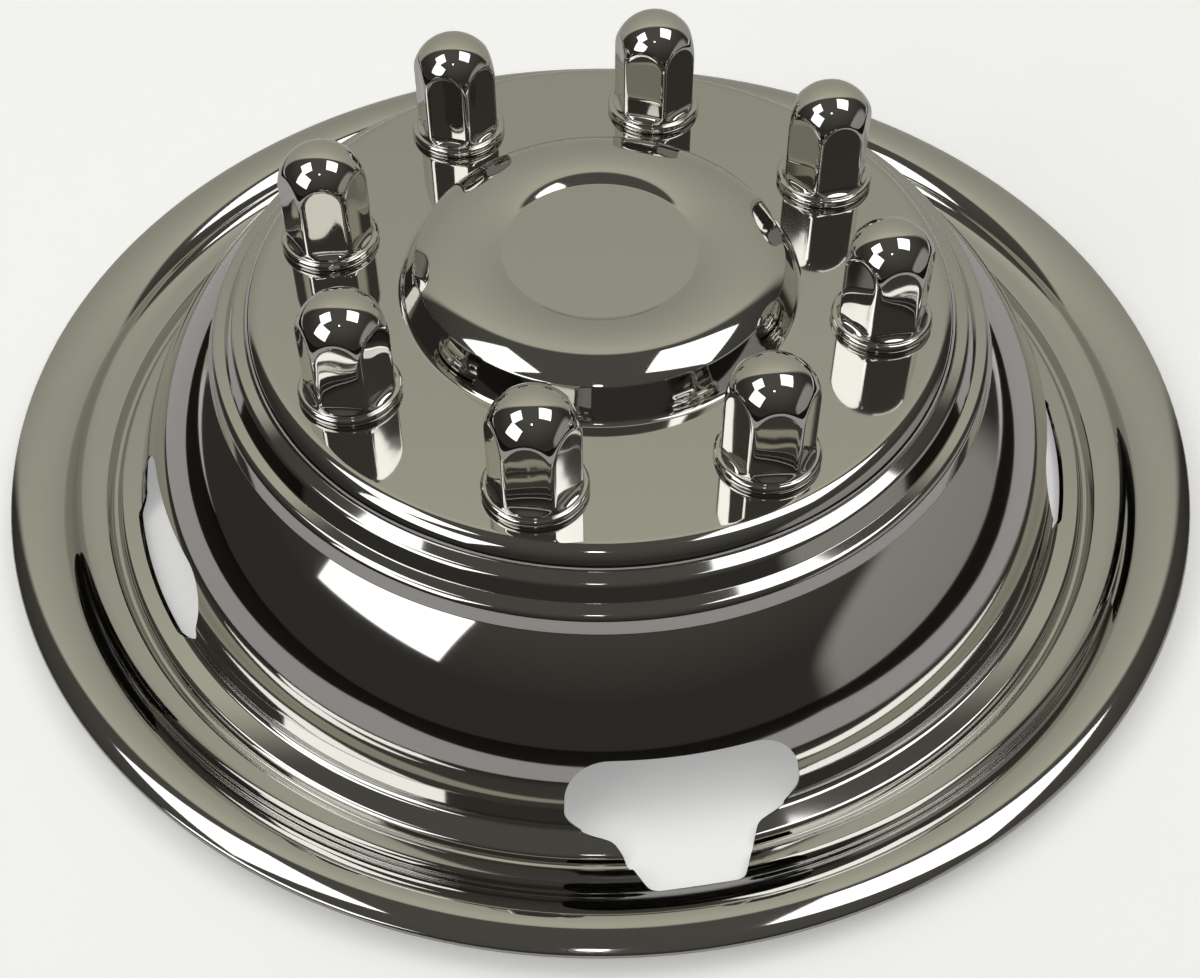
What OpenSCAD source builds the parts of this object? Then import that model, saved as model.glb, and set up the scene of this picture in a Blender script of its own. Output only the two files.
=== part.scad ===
// Wheel simulator for a 17 inch truck wheel on eight studs, lying on its back
// with its show side up. One stamped stainless liner carries eight plated nut
// covers, and a spring ring behind the sheet grips the skirt of each cover.
// The origin is the centre of the circle that it rests on, and +Z is outboard.

/* [Sheet] */
// Thickness of the stainless sheet
sheet_t = 0.8; // [0.6:0.1:1]
// Diameter over the outer edge
outer_d = 447; // [444:0.5:460]

/* [Outer lip] */
// Height of the outer edge above the resting plane
edge_h = 12; // [11:0.5:13]
// Distance from the outer edge in to the lip's crown
lip_crown_in = 8.9; // [8.8:0.1:9.4]
// Height of the crown above the edge
lip_rise = 2.5; // [2:0.1:3]
// Radius of the lip's rolled section
lip_round = 18.4; // [17:0.2:18.6]
// Slope of the lip where it runs out to the hem
lip_tilt = 24; // [20:1:24]
// Outer radius of the hem rolled under the edge
hem_round = 1.6; // [1.3:0.1:1.8]

/* [Trough] */
// Steepest slope of the wall between the lip and the trough
wall_tilt = 48; // [44:1:50]
// Radius of the inner edge of the step at the foot of that wall
step_r = 189.6; // [189:0.1:190.2]
// Height of that step's inner edge
step_h = 4.3; // [4:0.1:4.8]
// Slope of the step
step_tilt = 7; // [4:1:9]
// Radius of the middle of the groove that the part rests on
groove_r = 186.9; // [186.7:0.1:187.2]
// Width of the flat at the bottom of the groove
groove_w = 1.6; // [1.5:0.1:1.8]
// Radius of the inner shoulder of the groove
groove_shoulder_r = 184.5; // [184:0.1:184.7]
// Height of the inner shoulder of the groove
groove_shoulder_h = 3.9; // [3.6:0.1:4.2]
// Radius of that shoulder's bend
groove_shoulder_bend = 2.5; // [2:0.1:2.8]
// Height of the sheet at the foot of the bell
bell_foot_h = 5.4; // [4.8:0.1:6.4]
// Radius of the corners of the groove
groove_bend = 1.3; // [1.1:0.1:1.4]

/* [Bell] */
// Radius of the bell at its foot
bell_foot_r = 171.4; // [170:0.1:173]
// Radius of the bend at the foot of the bell
bell_foot_bend = 3; // [2:0.5:4]
// Slope of the bell at its foot
bell_foot_tilt = 88; // [85:1:89]
// Slope of the bell at its top
bell_top_tilt = 33; // [28:1:38]
// Radius of the bell's curved wall
bell_round = 65; // [50:1:70]
// Radius of the top of the bell
bell_top_r = 141.3; // [140.6:0.1:142]
// Height of the top of the bell
bell_top_h = 66.5; // [65:0.5:67]

/* [Steps] */
// Radius of the foot of each riser, from the disc outward
riser_foot_r = [126.8, 134.5]; // [120:0.1:140]
// Height of the foot of each riser
riser_foot_h = [80.2, 73.7]; // [70:0.1:84]
// Slope of each riser
riser_tilt = [80, 57, 72]; // [50:1:84]
// Slope of the ledge outside each of the first two risers
ledge_tilt = [18, 12]; // [8:1:22]
// Radius of the bend at the outer edge of each ledge
ledge_bend = 3; // [2:0.1:3.5]
// Radius of the bend at the foot of each riser
riser_foot_bend = 0.6; // [0.4:0.1:1]

/* [Disc and dome] */
// Height of the disc's upper face
disc_h = 86.5; // [85:0.5:88]
// Radius of the disc's rounded edge
disc_bend = 7.4; // [6:0.1:8]
// Radius of the foot of the dome
dome_foot_r = 70.3; // [69:0.1:72]
// Radius of the bend at the foot of the dome
dome_foot_bend = 2.5; // [1.5:0.1:4]
// Slope of the dome's side wall
dome_wall_tilt = 66; // [62:1:72]
// Height of the dome's crease above the disc
dome_crease_h = 12; // [11:0.1:13]
// Radius of the crease between the dome's side and its crown
dome_crease_bend = 1.6; // [1.3:0.1:2.5]
// Slope of the crown where it meets the crease
crown_out_tilt = 34; // [30:1:38]
// Slope of the crown down into the middle recess
crown_in_tilt = 24; // [18:1:28]
// Radius of the flat floor of the middle recess
recess_r = 34.6; // [33:0.1:36]
// Height of the recess floor above the disc
recess_h = 14.4; // [13.8:0.1:15]
// Radius of the bend round the recess floor
recess_bend = 1.2; // [0.8:0.1:2]

/* [Hand holes] */
// Number of hand holes
hand_holes = 5; // [4:1:5]
// Direction of the notched hand hole
notch_turn = -81; // [-180:0.5:180]
// Turn from the notched hand hole to the hand hole on each side of it
side_hole_turn = 76.3; // [72:0.1:78]
// Length of a hand hole along the trough
hand_hole_l = 78; // [60:1:82]
// Radius of a hand hole's outer edge, on the trough's floor
hand_hole_r = 178.2; // [177:0.1:179.5]
// Height of a hand hole's upper edge, on the bell
hand_hole_h = 33.5; // [30:0.5:36]
// Radius of a hand hole's upper corners
hand_hole_round = 15; // [12:0.5:17]
// Radius of a hand hole's lower corners
hand_hole_low_round = 11; // [8:0.5:12]

/* [Valve notch] */
// Width of the valve notch at the hand hole
notch_mouth_w = 46; // [42:1:50]
// Width of the valve notch at its outer end
notch_end_w = 30; // [24:1:34]
// Radius of the outer end of the valve notch
notch_end_r = 198.9; // [197.5:0.1:200]
// Radius of the notch's outer corners
notch_round = 4.5; // [3:0.5:7]
// Radius of the bend between the notch and its hand hole
notch_mouth_round = 6; // [3:0.5:8]

/* [Nut covers] */
// Number of nut covers
covers = 8; // [4:1:8]
// Diameter of the circle of studs
stud_circle_d = 200; // [196:0.5:204]
// Direction of the first nut cover
cover_turn = -102.06; // [-180:0.1:180]
// Height of a cover above the disc
cover_h = 42; // [38:0.5:44]
// Outer radius of a cover's round body
cover_r = 15.6; // [15:0.1:16]
// Distance across two opposite flats
cover_flats = 27.6; // [27.2:0.1:28.4]
// Depth of the hollow in each flat
flat_dish = 0.35; // [0.2:0.05:0.4]
// Height of the lower end of the flats above the disc
flat_foot_h = 4.4; // [4:0.1:5.4]
// Radius of the lower end of each flat
flat_foot_round = 2; // [1:0.5:3]
// Outer radius of the cover's flange
flange_r = 17.7; // [17.3:0.1:18.5]
// Section radius of the bead round the flange
bead_round = 1.7; // [1.4:0.1:1.9]
// Radius of the socket for the wheel nut
socket_r = 12.4; // [12:0.1:12.6]
// Radius of the socket's wider mouth
mouth_r = 12.9; // [12.7:0.1:13.2]
// Height of the top of that mouth above the disc
mouth_h = 2; // [1:0.5:4]
// Thickness of the cover at the top of its dome
crown_t = 2; // [1.6:0.1:2.6]
// Outer radius of the skirt that passes through the sheet
skirt_r = 14; // [13.8:0.1:14.4]
// Length of the skirt below the sheet
skirt_l = 6; // [4:0.5:8]
// Clearance between the flange and the disc
seat_clear = 0.02; // [0:0.01:0.1]
// Clearance round the skirt in the sheet's hole
skirt_clear = 0.3; // [0.2:0.05:0.6]
// Turn of each cover about its own axis, anticlockwise from the first
cover_clock = [6, 30, 51, 10, 55, 16, 48, 54]; // [0:1:59]

/* [Retainer rings] */
// Outer radius of a retainer ring
ring_r = 18.5; // [17.5:0.1:20]
// Thickness of a retainer ring
ring_t = 0.5; // [0.4:0.1:0.8]
// Drop of the ring's grip below its flat
ring_drop = 1.2; // [0.8:0.1:1.6]
// Clearance between the ring's grip and the skirt
grip_clear = 0.05; // [0.02:0.01:0.1]
// Radius out to which the slots in the grip reach
slot_r = 16.4; // [15.6:0.1:17]
// Width of each slot
slot_w = 2; // [1.2:0.1:2.6]

/* [Hidden] */
ARC_STEP = 7.5;
ROUND_FN = 96;
EPS = 0.01;
// Turn of the hem past upright, so that its end points inward
HEM_UNDER = 100;
FLATS = 6;
RING_SLOTS = 6;
// Depth to which the cutters of the holes run past the sheet
CUT_OUT = 7;
CUT_IN = 20;
LIGHT_STEEL = [0.80, 0.80, 0.78];
CHROME = [0.86, 0.86, 0.88];
SPRING_STEEL = [0.45, 0.46, 0.48];

COVER_NODES = [for (i = [1:covers]) str("nut_cover_", i)];
RING_NODES = [for (i = [1:covers]) str("retainer_ring_", i)];

outer_r = outer_d / 2;
stud_r = stud_circle_d / 2;
crown_h = edge_h + lip_rise;
crown_r = outer_r - lip_crown_in;
stud_hole_r = skirt_r + skirt_clear;
flat_apothem = cover_flats / 2 - flat_dish;

// Unit vector at an angle from the r axis
function dir(a) = [cos(a), sin(a)];

// Point where the line through p at angle a meets the line through q at b
function meet(p, a, q, b) =
    let (d = dir(a), e = dir(b), w = q - p)
    p + d * ((w[0] * e[1] - w[1] * e[0]) / (d[0] * e[1] - d[1] * e[0]));

// Direction from p to q in degrees
function bearing(p, q) = atan2(q[1] - p[1], q[0] - p[0]);

// Turn from one bearing to another, between -180 and 180
function turn(a, b) = let (t = b - a) t > 180 ? t - 360 : t < -180 ? t + 360 : t;

// Arc of radius r that rounds the corner c, met at bearing a and left at b
function corner(c, r, a, b) =
    let (t = turn(a, b),
         s = t > 0 ? 1 : -1,
         start = c - dir(a) * (r * tan(abs(t) / 2)),
         centre = start + dir(a + s * 90) * r,
         n = max(2, ceil(abs(t) / ARC_STEP)))
    [for (i = [0:n]) [centre + dir(a - s * 90 + t * i / n) * r, a + t * i / n]];

// Points and bearings along a line of corners, each [r, z, radius of its bend]
function bent(c) =
    let (last = len(c) - 1,
         p = [for (v = c) [v[0], v[1]]])
    [for (i = [0:last])
        let (a = i > 0 ? bearing(p[i - 1], p[i]) : bearing(p[0], p[1]),
             b = i < last ? bearing(p[i], p[i + 1]) : a)
        each (i == 0 || i == last || c[i][2] == 0
            ? [[p[i], (a + b) / 2]]
            : corner(p[i], c[i][2], a, b))];

// Closed outline with its corners rounded
function rounded(c) =
    let (n = len(c),
         p = [for (v = c) [v[0], v[1]]])
    [for (i = [0:n - 1])
        let (a = bearing(p[(i + n - 1) % n], p[i]),
             b = bearing(p[i], p[(i + 1) % n]))
        each [for (q = corner(p[i], c[i][2], a, b)) q[0]]];

// Corners of the liner's section, from the middle outward
riser_1_top = meet([0, disc_h], 0, [riser_foot_r[0], riser_foot_h[0]], -riser_tilt[0]);
riser_1_foot = [riser_foot_r[0], riser_foot_h[0]];
riser_2_foot = [riser_foot_r[1], riser_foot_h[1]];
bell_top = [bell_top_r, bell_top_h];
riser_2_top = meet(riser_1_foot, -ledge_tilt[0], riser_2_foot, -riser_tilt[1]);
riser_3_top = meet(riser_2_foot, -ledge_tilt[1], bell_top, -riser_tilt[2]);
bell_foot = [bell_foot_r, bell_foot_h];
bell_corner = meet(bell_top, -bell_top_tilt, bell_foot, -bell_foot_tilt);
dome_foot = [dome_foot_r, disc_h];
dome_crease_z = disc_h + dome_crease_h;
dome_crease = meet(dome_foot, -dome_wall_tilt, [0, dome_crease_z], 0);
recess_foot = [recess_r, disc_h + recess_h];
crown_corner = meet(recess_foot, crown_in_tilt, dome_crease, -crown_out_tilt);
crown_turn = crown_in_tilt + crown_out_tilt;
crown_reach = min(norm(crown_corner - recess_foot), norm(crown_corner - dome_crease));
crown_round = 0.96 * crown_reach / tan(crown_turn / 2);
lip_centre = [crown_r, crown_h - lip_round];
lip_in = lip_centre + dir(90 + wall_tilt) * lip_round;
lip_out = lip_centre + dir(90 - lip_tilt) * lip_round;
lip_corner = meet(lip_in, wall_tilt, lip_out, -lip_tilt);
// The wall's foot is rounded over nearly all of the wall's straight length
wall_foot = meet([step_r, step_h], step_tilt, lip_in, wall_tilt);
wall_foot_bend = 0.94 * norm(lip_in - wall_foot) / tan((wall_tilt - step_tilt) / 2);

section_corners = [
    [0, recess_foot[1], 0],
    [recess_foot[0], recess_foot[1], recess_bend],
    [crown_corner[0], crown_corner[1], crown_round],
    [dome_crease[0], dome_crease[1], dome_crease_bend],
    [dome_foot[0], dome_foot[1], dome_foot_bend],
    [riser_1_top[0], riser_1_top[1], disc_bend],
    [riser_1_foot[0], riser_1_foot[1], riser_foot_bend],
    [riser_2_top[0], riser_2_top[1], ledge_bend],
    [riser_2_foot[0], riser_2_foot[1], riser_foot_bend],
    [riser_3_top[0], riser_3_top[1], ledge_bend],
    [bell_top[0], bell_top[1], riser_foot_bend],
    [bell_corner[0], bell_corner[1], bell_round],
    [bell_foot[0], bell_foot[1], bell_foot_bend],
    [groove_shoulder_r, groove_shoulder_h, groove_shoulder_bend],
    [groove_r - groove_w / 2, sheet_t, groove_bend / 2],
    [groove_r + groove_w / 2, sheet_t, groove_bend / 2],
    [step_r, step_h, groove_bend],
    [wall_foot[0], wall_foot[1], wall_foot_bend],
    [lip_corner[0], lip_corner[1], lip_round]
];

// The hem: an arc that starts on the lip's slope and rolls under the edge
hem_r = outer_r - hem_round;
hem_centre = [hem_r, lip_out[1] - (hem_r - lip_out[0]) * tan(lip_tilt)
    - hem_round / cos(lip_tilt)];
hem_half_steps = 8;
hem_tilts = concat(
    [for (i = [0:hem_half_steps]) lip_tilt + (90 - lip_tilt) * i / hem_half_steps],
    [for (i = [1:hem_half_steps]) 90 + HEM_UNDER * i / hem_half_steps]);
hem_path = [for (b = hem_tilts) [hem_centre + dir(90 - b) * hem_round, -b]];

// Upper side of the sheet with its bearings; the corner list's last arc is
// closed by the hem's first point
section_path = concat(
    bent(concat(section_corners, [[hem_path[0][0][0], hem_path[0][0][1], 0]])),
    [for (i = [1:len(hem_path) - 1]) hem_path[i]]);
section_upper = [for (q = section_path) q[0]];
section_lower = [for (q = section_path) q[0] - dir(q[1] + 90) * sheet_t];

module sheet_section() {
    n = len(section_lower);
    polygon(concat(section_upper, [for (i = [0:n - 1]) section_lower[n - 1 - i]]));
}

// A hand hole is cut square to the line from its lower to its upper edge
hole_low = [hand_hole_r, groove_shoulder_h
    + (bell_foot_h - groove_shoulder_h) * (groove_shoulder_r - hand_hole_r)
    / (groove_shoulder_r - bell_foot_r)];
hole_high = [bell_foot_r - (hand_hole_h - bell_foot_h) / tan(bell_foot_tilt), hand_hole_h];
hole_mid = (hole_low + hole_high) / 2;
hole_half = norm(hole_high - hole_low) / 2;
hole_slope = bearing(hole_low, hole_high);

// Point of the hole's outline, seen along the cut: a along the trough, s up
function hole_point(a, s) =
    let (r = hole_mid[0] + s * cos(hole_slope),
         z = s * sin(hole_slope),
         turn_a = a / hole_mid[0] * 180 / PI,
         out = r * cos(turn_a) - hole_mid[0])
    [r * sin(turn_a), out * cos(hole_slope) + z * sin(hole_slope)];

// The straight stretches are split so that they follow the trough's curve
function split_edge(p, q, n) = [for (i = [0:n - 1]) p + (q - p) * i / n];

hole_outline = let (l = hand_hole_l / 2, h = hole_half,
        c = rounded([[l, -h, hand_hole_low_round], [l, h, hand_hole_round],
                     [-l, h, hand_hole_round], [-l, -h, hand_hole_low_round]]),
        n = len(c))
    [for (i = [0:n - 1])
        let (p = c[i], q = c[(i + 1) % n])
        each [for (v = split_edge(p, q, max(1, round(norm(q - p) / 8))))
            hole_point(v[0], v[1])]];

// Turn of hand hole i from the notched one; the far ones share what is left
function hole_turn(i) = i == 0 ? 0
    : side_hole_turn + (i - 1) * (360 - 2 * side_hole_turn) / (hand_holes - 2);

module hand_hole_cutter() {
    translate([hole_mid[0], 0, hole_mid[1]])
        rotate([0, 180 - hole_slope, 0])
            rotate([0, 0, 90])
                translate([0, 0, -CUT_IN])
                    linear_extrude(CUT_IN + CUT_OUT)
                        polygon([for (p = hole_outline) [p[0], p[1]]]);
}

module valve_notch_cutter() {
    mouth_r = hand_hole_r - 3;
    flare = 14;
    outline = rounded([
        [mouth_r - 4, -notch_mouth_w / 2 - flare, 1],
        [hand_hole_r - 0.2, -notch_mouth_w / 2 - 1, notch_mouth_round],
        [notch_end_r, -notch_end_w / 2, notch_round],
        [notch_end_r, notch_end_w / 2, notch_round],
        [hand_hole_r - 0.2, notch_mouth_w / 2 + 1, notch_mouth_round],
        [mouth_r - 4, notch_mouth_w / 2 + flare, 1]]);
    translate([0, 0, -EPS - 1])
        linear_extrude(hand_hole_h - bell_foot_h)
            polygon(outline);
}

module at_covers() {
    for (i = [0:covers - 1])
        rotate([0, 0, cover_turn + i * 360 / covers])
            translate([stud_r, 0, 0])
                children();
}

module liner() {
    color(LIGHT_STEEL)
        difference() {
            rotate_extrude($fn = ROUND_FN) sheet_section();
            at_covers()
                translate([0, 0, disc_h - sheet_t - 1])
                    cylinder(r = stud_hole_r, h = sheet_t + 2, $fn = ROUND_FN);
            for (i = [0:hand_holes - 1])
                rotate([0, 0, notch_turn + hole_turn(i)])
                    hand_hole_cutter();
            rotate([0, 0, notch_turn])
                valve_notch_cutter();
        }
}

// Half section of a nut cover, with its flange on the disc at z = 0
module cover_section() {
    dome_z = cover_h - cover_r;
    socket_z = cover_h - crown_t - socket_r;
    bead_c = [flange_r - bead_round, bead_round];
    difference() {
        union() {
            intersection() {
                translate([0, dome_z]) circle(r = cover_r, $fn = ROUND_FN);
                translate([0, dome_z]) square([cover_r + 1, cover_r + 1]);
            }
            square([cover_r, dome_z]);
            square([bead_c[0], 2 * bead_round]);
            translate(bead_c) circle(r = bead_round, $fn = ROUND_FN);
            flare_section(2 * bead_round);
            translate([0, -sheet_t - skirt_l]) square([skirt_r, sheet_t + skirt_l + EPS]);
        }
        square([socket_r, socket_z]);
        translate([0, -sheet_t - skirt_l - 1])
            square([mouth_r, mouth_h + sheet_t + skirt_l + 1]);
        intersection() {
            translate([0, socket_z]) circle(r = socket_r, $fn = ROUND_FN);
            translate([0, socket_z]) square([socket_r + 1, socket_r + 1]);
        }
        translate([-2 * cover_r, -2 * cover_r]) square([2 * cover_r, 4 * cover_h]);
    }
}

// Fillet between the body and the top of the bead
module flare_section(z) {
    r = flange_r - bead_round - cover_r + EPS;
    difference() {
        translate([cover_r - EPS, z - EPS]) square([r, r]);
        translate([cover_r + r, z + r]) circle(r = r, $fn = ROUND_FN);
    }
}

// What a flat takes away: the side of a wide drum with a rounded lower edge
module flat_cutter() {
    half_w = sqrt(cover_r * cover_r - pow(cover_flats / 2, 2));
    drum_r = (half_w * half_w + flat_dish * flat_dish) / (2 * flat_dish);
    drum_top = cover_h + 1;
    drum_depth = 8;
    arc_n = 6;
    arc_c = [drum_r - flat_foot_round, flat_foot_h + flat_foot_round];
    translate([flat_apothem + drum_r, 0, 0])
        rotate([0, 0, 180 - 20])
            rotate_extrude(angle = 40, $fn = ROUND_FN * 4)
                polygon(concat(
                    [[drum_r - drum_depth, drum_top], [drum_r - drum_depth, flat_foot_h]],
                    [for (i = [0:arc_n]) arc_c + dir(-90 + 90 * i / arc_n) * flat_foot_round],
                    [[drum_r, drum_top]]));
}

module nut_cover(i) {
    color(CHROME)
        rotate([0, 0, cover_turn + i * 360 / covers])
            translate([stud_r, 0, disc_h + seat_clear])
                rotate([0, 0, cover_clock[i]])
                    difference() {
                        rotate_extrude($fn = ROUND_FN) cover_section();
                        for (k = [0:FLATS - 1])
                            rotate([0, 0, k * 360 / FLATS])
                                flat_cutter();
                    }
}

module retainer_ring(i) {
    grip_r = skirt_r + grip_clear;
    bend_r = grip_r + ring_drop;
    color(SPRING_STEEL)
        rotate([0, 0, cover_turn + i * 360 / covers])
            translate([stud_r, 0, disc_h - sheet_t])
                difference() {
                    rotate_extrude($fn = ROUND_FN)
                        polygon([[grip_r, -ring_drop], [bend_r, 0], [ring_r, 0],
                                 [ring_r, -ring_t], [bend_r + ring_t / 2, -ring_t],
                                 [grip_r, -ring_drop - ring_t]]);
                    for (k = [0:RING_SLOTS - 1])
                        rotate([0, 0, k * 360 / RING_SLOTS])
                            translate([0, -slot_w / 2, -ring_drop - ring_t - 1])
                                cube([slot_r, slot_w, ring_drop + ring_t + 2]);
                }
}

liner();
for (i = [0:covers - 1]) {
    nut_cover(i);
    retainer_ring(i);
}
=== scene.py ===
"""Looks of a truck wheel simulator: a polished stainless liner, eight plated nut covers and their rings."""

import math

import bmesh
import bpy
import numpy as np
from bpy.props import FloatProperty, IntProperty, PointerProperty, StringProperty
from mathutils import Matrix, Vector


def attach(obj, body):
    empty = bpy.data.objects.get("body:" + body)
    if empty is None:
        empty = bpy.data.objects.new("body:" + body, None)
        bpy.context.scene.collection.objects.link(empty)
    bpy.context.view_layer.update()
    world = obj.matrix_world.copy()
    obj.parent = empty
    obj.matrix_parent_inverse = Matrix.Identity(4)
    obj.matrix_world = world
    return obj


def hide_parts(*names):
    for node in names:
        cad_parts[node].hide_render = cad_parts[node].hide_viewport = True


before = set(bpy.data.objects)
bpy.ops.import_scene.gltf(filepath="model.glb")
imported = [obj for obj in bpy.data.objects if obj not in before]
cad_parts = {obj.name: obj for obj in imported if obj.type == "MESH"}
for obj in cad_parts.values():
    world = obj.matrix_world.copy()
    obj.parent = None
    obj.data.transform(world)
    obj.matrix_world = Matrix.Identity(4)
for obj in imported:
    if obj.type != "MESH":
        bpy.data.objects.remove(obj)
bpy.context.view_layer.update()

bl_info = {
    "name": "Truck wheel simulator",
    "version": (1, 0, 0),
    "blender": (4, 5, 0),
    "location": "3D View > Sidebar > Wheel",
    "description": "Dresses the packed wheel simulator and sets up its studio",
    "category": "Object",
}

MM = 0.001
COVERS = 8
FLATS = 6

# Sheet and section of the liner, in millimetres. The bell's wall follows the real one more closely
# than the solid's does, and all other values are the solid's.
SHEET_T = 0.8
OUTER_R = 223.5
EDGE_H = 12.0
LIP_CROWN_IN = 8.9
LIP_RISE = 2.5
LIP_ROUND = 18.4
LIP_TILT = 24.0
HEM_ROUND = 1.6
HEM_UNDER = 100.0
WALL_TILT = 48.0
STEP = (189.6, 4.3)
STEP_TILT = 7.0
GROOVE_R = 186.9
GROOVE_W = 1.6
GROOVE_SHOULDER = (184.5, 3.9)
GROOVE_SHOULDER_BEND = 2.5
GROOVE_BEND = 1.3
BELL_FOOT = (175.0, 4.99)
BELL_FOOT_BEND = 3.0
BELL_CREASE = (174.2, 15.5)
BELL_CREASE_BEND = 1.5
BELL_WALL_TILT = 70.0
BELL_TOP_TILT = 42.0
BELL_ROUND = 112.0
BELL_TOP = (141.3, 66.5)
RISER_1_FOOT = (126.8, 80.2)
RISER_2_FOOT = (134.5, 73.7)
RISER_TILT = (80.0, 57.0, 72.0)
LEDGE_TILT = (18.0, 12.0)
LEDGE_BEND = 3.0
RISER_FOOT_BEND = 0.6
DISC_H = 86.5
DISC_BEND = 7.4
DOME_FOOT_R = 70.3
DOME_FOOT_BEND = 2.5
DOME_WALL_TILT = 66.0
DOME_CREASE_H = 12.0
DOME_CREASE_BEND = 1.6
CROWN_OUT_TILT = 34.0
CROWN_IN_TILT = 24.0
RECESS_R = 34.6
RECESS_H = 14.4
RECESS_BEND = 1.2
# Share of the room beside a corner that its bend takes
CROWN_SHARE = 0.96
WALL_SHARE = 0.94
# Degrees of a bend for each step along the section
BEND_STEP = 7.5
DISC_STEP = 5
LIP_STEP = 3
BELL_STEP = 2.5
HEM_STEPS = 8

# Hand holes and valve notch
HAND_HOLES = 5
NOTCH_TURN = -81.0
SIDE_HOLE_TURN = 76.3
HOLE_L = 78.0
HOLE_R = 178.2
HOLE_TOP_R = 167.3
HOLE_H = 33.5
HOLE_ROUND = 15.0
HOLE_LOW_ROUND = 11.0
CUT_IN = 20.0
CUT_OUT = 7.0
NOTCH_MOUTH_W = 46.0
NOTCH_END_W = 30.0
NOTCH_END_R = 198.9
NOTCH_ROUND = 4.5
NOTCH_MOUTH_ROUND = 6.0
NOTCH_FLARE = 14.0
# How far the notch starts inside the hole above it, and how far its mouth's corners stand out from it
NOTCH_LAP = 7
NOTCH_FLARE_ROUND = 1
NOTCH_MOUTH_LAP = 0.2
NOTCH_MOUTH_EXTRA = 1
EDGE_STEP = 4

# Nut covers
STUD_R = 100.0
STUD_HOLE_R = 14.3
STUD_HOLE_STEPS = 96
COVER_TURN = -102.06
COVER_PITCH = 360 / COVERS
COVER_CLOCK = (6.0, 30.0, 51.0, 10.0, 55.0, 16.0, 48.0, 54.0)
COVER_H = 42.0
COVER_R = 15.6
COVER_FLATS = 27.6
FLAT_DISH = 0.35
FLAT_FOOT_H = 4.4
FLAT_FOOT_ROUND = 2.0
FLANGE_R = 17.7
BEAD_ROUND = 1.7
SOCKET_R = 12.4
MOUTH_R = 12.9
MOUTH_H = 2.0
CROWN_T = 2.0
SKIRT_R = 14.0
SKIRT_L = 6.0
SEAT_CLEAR = 0.02
FLAT_BLEND = 0.5
COVER_SHARP = 50

# Steps round each piece, which keep the liner under 200,000 triangles
LINER_STEPS = 224
COVER_STEPS = 240
# A face takes the section's own normal within this many metres of it, and if the two agree this much
NORMAL_REACH = 2e-5
NORMAL_AGREE = 0.9

# Colour sockets of a Mix node set to RGBA
MIX_A = 6
MIX_B = 7
MIX_RESULT = 2

# Studio, in metres. The dark mats are painted shade and the pale sheet is a painted reflection of the lit
# floor. They lie on the floor and show only in the metal.
FLOOR_REACH = 6.0
FLOOR_LIFT = 0.33
# The room is a dark glowing ball of painted reflection.
ROOM_R = 5.0
# The backdrop is a glowing card of painted reflection.
BACKDROP_X = (-1.5, 1.3)
BACKDROP_Y = 0.60
BACKDROP_Z = (0, 2.6)
# The wall is a glowing card of painted reflection.
WALL_X = 2.4
WALL_Y = (-3, 1.2)
WALL_Z = (0, 1.9)
SHADE_FRONT = -0.42
SHADE_BACK = 0.61
SHADE_EDGE_LEFT = ((-0.36, SHADE_FRONT), (-0.40, -0.10), (-0.46, 0.17), (-0.47, SHADE_BACK))
SHADE_EDGE_RIGHT = ((0.36, SHADE_FRONT), (0.38, -0.10), (0.50, 0.22), (0.52, SHADE_BACK))
SHADE_LIFT = 0.0005
PALE_REFLECTION_REACH = 0.8
PALE_REFLECTION_LIFT = 0.0003
AIM = (0, 0, 0.1)
# Name, place, size and brightness of each lamp. The last one lights evenly and shows in no reflection.
LAMPS = (
    ("window_right", (0.82, 0.06, 1.72), (0.85, 0.85), 2.2),
    ("window_left", (-0.62, -0.10, 1.03), (0.45, 0.45), 2.2),
    ("window_low_left", (-2.06, -1.55, 1.85), (1.8, 1.5), 2.2),
    ("bulb", (-0.03, -0.9, 1.9), (0.1, 0.1), 8.0),
    ("sky", (0, -0.2, 3.0), (3.0, 3.0), 1.0),
)
CAMERA_AT = (0, -0.47455, 0.52763)
CAMERA_RIGHT = (0.9999977, -0.0014457, -0.0015829)
CAMERA_UP = (0.002127, 0.760786, 0.649)
SENSOR_W = 36


def unit(a):
    """Unit vector at an angle in degrees."""
    return np.array([math.cos(math.radians(a)), math.sin(math.radians(a))])


def tan(a):
    return math.tan(math.radians(a))


def meet(p, a, q, b):
    """Point where the line through p at angle a meets the line through q at b."""
    p, q, d, e = np.array(p, float), np.array(q, float), unit(a), unit(b)
    w = q - p
    return p + d * ((w[0] * e[1] - w[1] * e[0]) / (d[0] * e[1] - d[1] * e[0]))


def bearing(p, q):
    return math.degrees(math.atan2(q[1] - p[1], q[0] - p[0]))


def turn(a, b):
    return (b - a + 180) % 360 - 180


def corner(c, r, a, b, step):
    """Arc of radius r that rounds the corner c, as (point, bearing) pairs."""
    t = turn(a, b)
    s = 1 if t > 0 else -1
    start = np.array(c[:2]) - unit(a) * (r * tan(abs(t) / 2))
    centre = start + unit(a + s * 90) * r
    n = max(3, math.ceil(abs(t) / step))
    return [(centre + unit(a - s * 90 + t * i / n) * r, a + t * i / n) for i in range(n + 1)]


def bent(corners, step):
    """Points and bearings along a line of corners (r, z, radius of bend)."""
    out, last = [], len(corners) - 1
    for i, c in enumerate(corners):
        a = bearing(corners[i - 1], c) if i else bearing(c, corners[1])
        b = bearing(c, corners[i + 1]) if i < last else a
        if i in (0, last) or c[2] == 0:
            out.append((np.array(c[:2], float), (a + b) / 2))
        else:
            out += corner(c, c[2], a, b, c[3] if len(c) > 3 else step)
    return out


def rounded(corners):
    """Closed outline with its corners rounded."""
    n = len(corners)
    out = []
    for i, c in enumerate(corners):
        a = bearing(corners[i - 1], c)
        b = bearing(c, corners[(i + 1) % n])
        out += [q for q, _ in corner(c, c[2], a, b, BEND_STEP)]
    return out


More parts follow.
